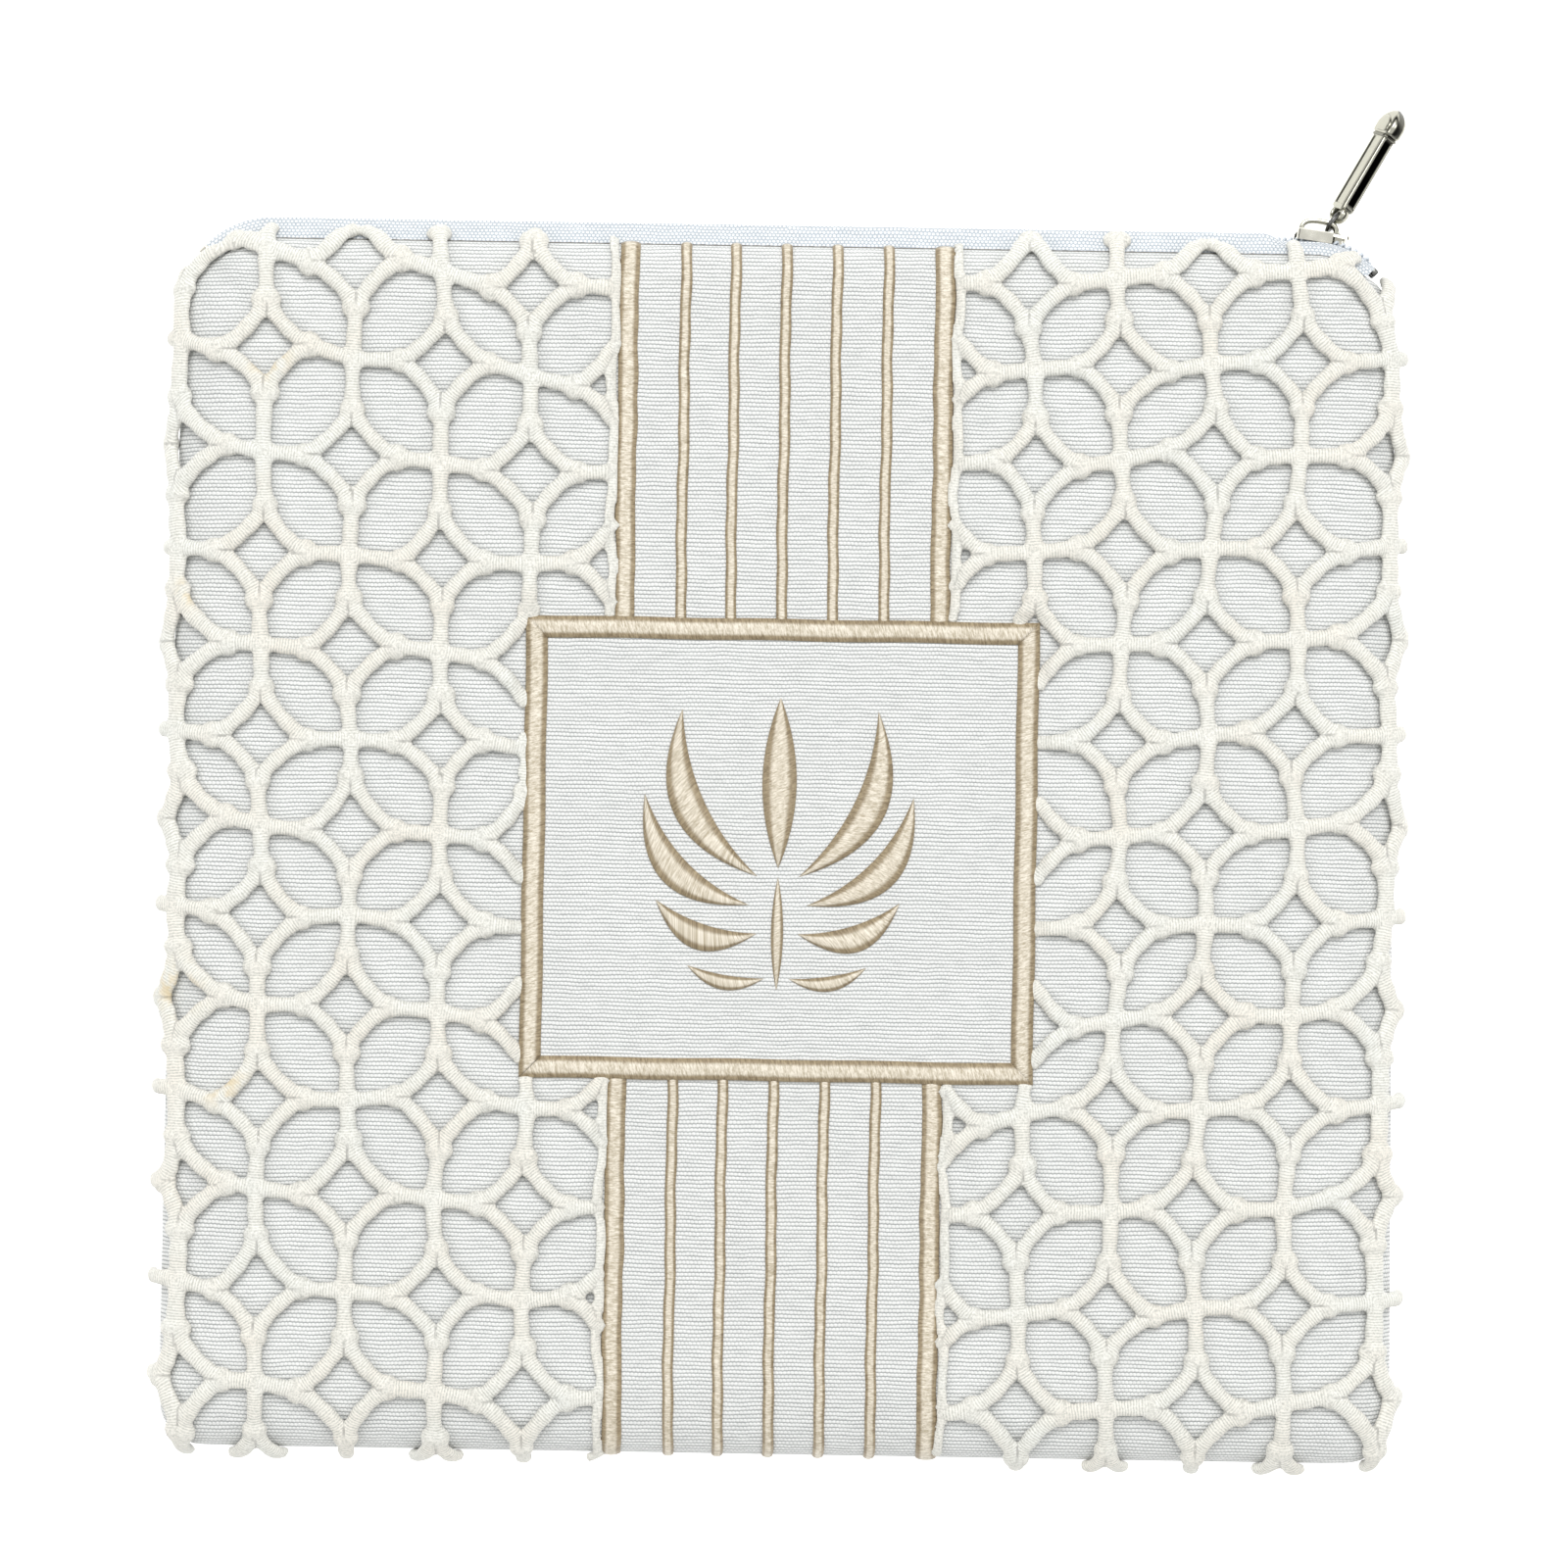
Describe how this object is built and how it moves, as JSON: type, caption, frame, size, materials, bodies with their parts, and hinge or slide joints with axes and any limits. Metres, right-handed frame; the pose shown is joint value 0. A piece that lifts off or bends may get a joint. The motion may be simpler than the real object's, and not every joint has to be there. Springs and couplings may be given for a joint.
{
  "type": "zipped fabric pouch",
  "caption": "Square padded and lined fabric pouch with a zipped mouth, lace side panels, gold-stitched stripes and a framed leaf motif, for devotional use",
  "frame": {"origin": "centre of the flat resting face of the back panel", "axes": "+Z out of the decorated front panel, +Y towards the zipped mouth, +X along the zip towards its closing end"},
  "size_m": [0.3054, 0.3361, 0.0249],
  "materials": {
    "canvas": "plain-woven off-white canvas",
    "lining": "smooth white lining cloth",
    "wadding": "soft fibrous wadding",
    "lace": "matt wrapped cotton cord lace",
    "gold_thread": "lustrous satin-stitch thread",
    "zip_tape": "woven zip tape",
    "zip_coil": "moulded nylon coil",
    "nickel": "polished nickel plate",
    "dark_nickel": "dark nickel plate"
  },
  "bodies": {
    "back": {"back_panel": "canvas", "back_wadding": "wadding", "back_lining": "lining", "back_tape": "zip_tape", "back_coil": "zip_coil", "back_top_stop": "dark_nickel", "front_top_stop": "dark_nickel", "bottom_stop": "dark_nickel"},
    "front": {"front_panel": "canvas", "front_wadding": "wadding", "front_lining": "lining", "front_tape": "zip_tape", "front_coil": "zip_coil", "lace_left": "lace", "lace_right": "lace", "wide_stripes": "gold_thread", "narrow_stripes": "gold_thread", "plaque_patch": "canvas", "plaque_border": "gold_thread", "centre_motif": "gold_thread"},
    "slider": {"slider_body": "nickel", "slider_bridge": "nickel"},
    "link": {"link_ring": "nickel"},
    "pull": {"pull_tab": "nickel"}
  },
  "joints": [
    {"name": "mouth_open", "type": "hinge", "parent": "back", "child": "front", "pos_m": [0, -0.15, 0.0115], "axis": [1, 0, 0], "range_deg": [0, 7], "deforming": ["front_tape", "front_coil", "back_coil"]},
    {"name": "zip_slide", "type": "slide", "parent": "back", "child": "slider", "axis": [1, 0, 0], "range_m": [-0.2552, 0], "deforming": ["back_coil", "back_tape", "front_coil", "front_tape"]},
    {"name": "link_swing", "type": "hinge", "parent": "slider", "child": "link", "pos_m": [0.13239, 0.15438, 0.0115], "axis": [0, 0, 1], "range_deg": [-42, 45]},
    {"name": "tab_swing", "type": "hinge", "parent": "link", "child": "pull", "pos_m": [0.13544, 0.15858, 0.0115], "axis": [-0.5988, 0.2986, 0.7431], "range_deg": [-60, 60]}
  ],
  "couplings": [
    {"joint": "zip_slide", "follows": "mouth_open", "m_per_rad": -2.0888}
  ]
}
